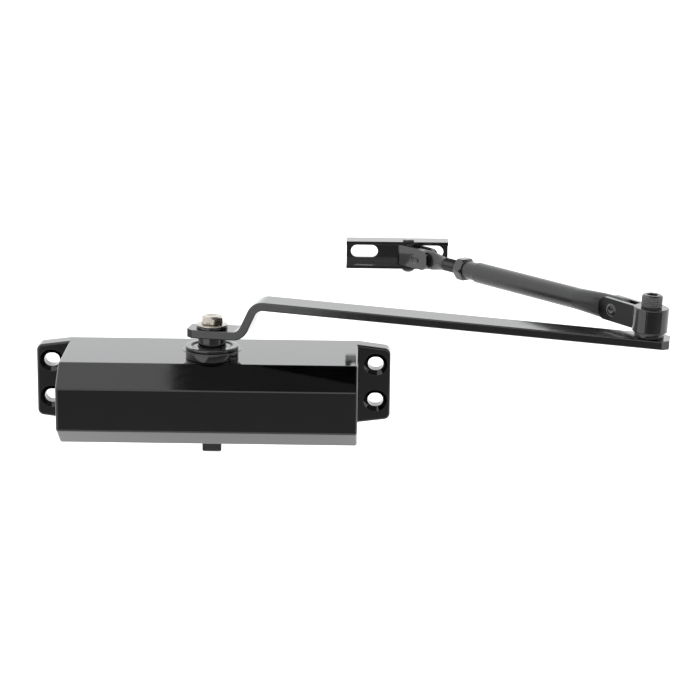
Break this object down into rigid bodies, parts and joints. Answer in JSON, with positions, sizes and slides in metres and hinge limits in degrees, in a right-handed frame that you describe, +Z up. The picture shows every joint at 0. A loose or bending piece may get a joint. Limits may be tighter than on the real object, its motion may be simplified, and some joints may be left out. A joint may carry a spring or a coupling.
{
  "type": "door closer",
  "caption": "Surface-mounted hydraulic door closer: black chamfered body with slotted end ears, cranked flat main arm and a jointed, length-adjustable rod ending in a channel shoe.",
  "frame": {"origin": "centre of the body's four fixing slots, on the face that lies against the door", "axes": "+X along the body towards the elbow, -Y out from the door, +Z up"},
  "size_m": [0.3134, 0.1536, 0.0917],
  "materials": {
    "gloss_black_casting": "gloss black enamel on a casting",
    "black_steel": "gloss black plated steel",
    "satin_dark_steel": "satin dark grey",
    "nickel_steel": "bright nickel plate",
    "blackened_screw_steel": "oiled black oxide",
    "ground_steel": "ground",
    "brass": "machined",
    "seal_rubber": "matt"
  },
  "bodies": {
    "body": {"body_casting": "gloss_black_casting", "end_plug_left": "black_steel", "end_plug_right": "black_steel", "end_plug_seals": "seal_rubber", "valve_seals": "seal_rubber", "closing_spring": "ground_steel", "spindle_cap": "black_steel", "dust_ring": "black_steel", "upper_bearing": "ground_steel", "upper_seal": "seal_rubber", "lower_bearing": "ground_steel", "lower_seal": "seal_rubber", "lower_cap": "black_steel"},
    "piston": {"piston": "ground_steel", "piston_seal": "seal_rubber", "check_valve_ball": "ground_steel", "check_valve_cage": "ground_steel"},
    "sweep_valve": {"sweep_valve_screw": "brass"},
    "latch_valve": {"latch_valve_screw": "brass"},
    "arm": {"spindle": "black_steel", "main_arm": "black_steel", "spring_washer": "black_steel", "arm_washer": "nickel_steel", "arm_bolt": "nickel_steel", "elbow_ring": "black_steel", "elbow_bush": "blackened_screw_steel", "elbow_screw": "blackened_screw_steel"},
    "elbow_link": {"elbow_link": "black_steel", "elbow_rivet": "black_steel"},
    "rod_tube": {"rod_tube": "satin_dark_steel", "rod_bush": "satin_dark_steel"},
    "lock_nut": {"lock_nut": "black_steel"},
    "threaded_rod": {"threaded_rod": "satin_dark_steel"},
    "shoe_block": {"shoe_block": "black_steel", "shoe_rivet": "black_steel"},
    "shoe": {"shoe_bracket": "black_steel", "shoe_pin": "black_steel"}
  },
  "joints": [
    {"name": "spindle_turn", "type": "hinge", "parent": "body", "child": "arm", "pos_m": [0.0012, -0.037, 0], "axis": [0, 0, 1], "range_deg": [0, 170], "stiffness_Nm_per_rad": 3, "springref_deg": -51.57},
    {"name": "piston_slide", "type": "slide", "parent": "body", "child": "piston", "axis": [-1, 0, 0], "range_m": [0, 0.0226], "deforming": ["closing_spring"]},
    {"name": "elbow_turn", "type": "hinge", "parent": "arm", "child": "elbow_link", "pos_m": [0.21274, -0.07544, 0.0427], "axis": [0.0426, -0.0077, 0.9991], "range_deg": [-140, 25]},
    {"name": "rod_tilt", "type": "hinge", "parent": "elbow_link", "child": "rod_tube", "pos_m": [0.19915, -0.05884, 0.05206], "axis": [0.7658, 0.6425, -0.0277], "range_deg": [-6, 12]},
    {"name": "lock_nut_spin", "type": "hinge", "parent": "threaded_rod", "child": "lock_nut", "pos_m": [0.12773, 0.02626, 0.05206], "axis": [-0.6428, 0.766, 0], "continuous": true},
    {"name": "rod_length", "type": "slide", "parent": "rod_tube", "child": "threaded_rod", "axis": [-0.6428, 0.766, 0], "range_m": [0, 0.02]},
    {"name": "shoe_tilt", "type": "hinge", "parent": "threaded_rod", "child": "shoe_block", "pos_m": [0.10588, 0.05231, 0.05206], "axis": [0.766, 0.6428, 0], "range_deg": [-12, 12]},
    {"name": "shoe_swivel", "type": "hinge", "parent": "shoe_block", "child": "shoe", "pos_m": [0.09913, 0.06035, 0.05206], "axis": [0, 0, 1], "range_deg": [-20, 100]},
    {"name": "sweep_valve_turn", "type": "hinge", "parent": "body", "child": "sweep_valve", "pos_m": [0.0737, -0.0155, 0.008], "axis": [1, 0, 0], "range_deg": [0, 360]},
    {"name": "latch_valve_turn", "type": "hinge", "parent": "body", "child": "latch_valve", "pos_m": [0.0737, -0.0155, -0.0097], "axis": [1, 0, 0], "range_deg": [0, 360]}
  ],
  "couplings": [
    {"joint": "piston_slide", "follows": "spindle_turn", "m_per_rad": 0.0075}
  ]
}
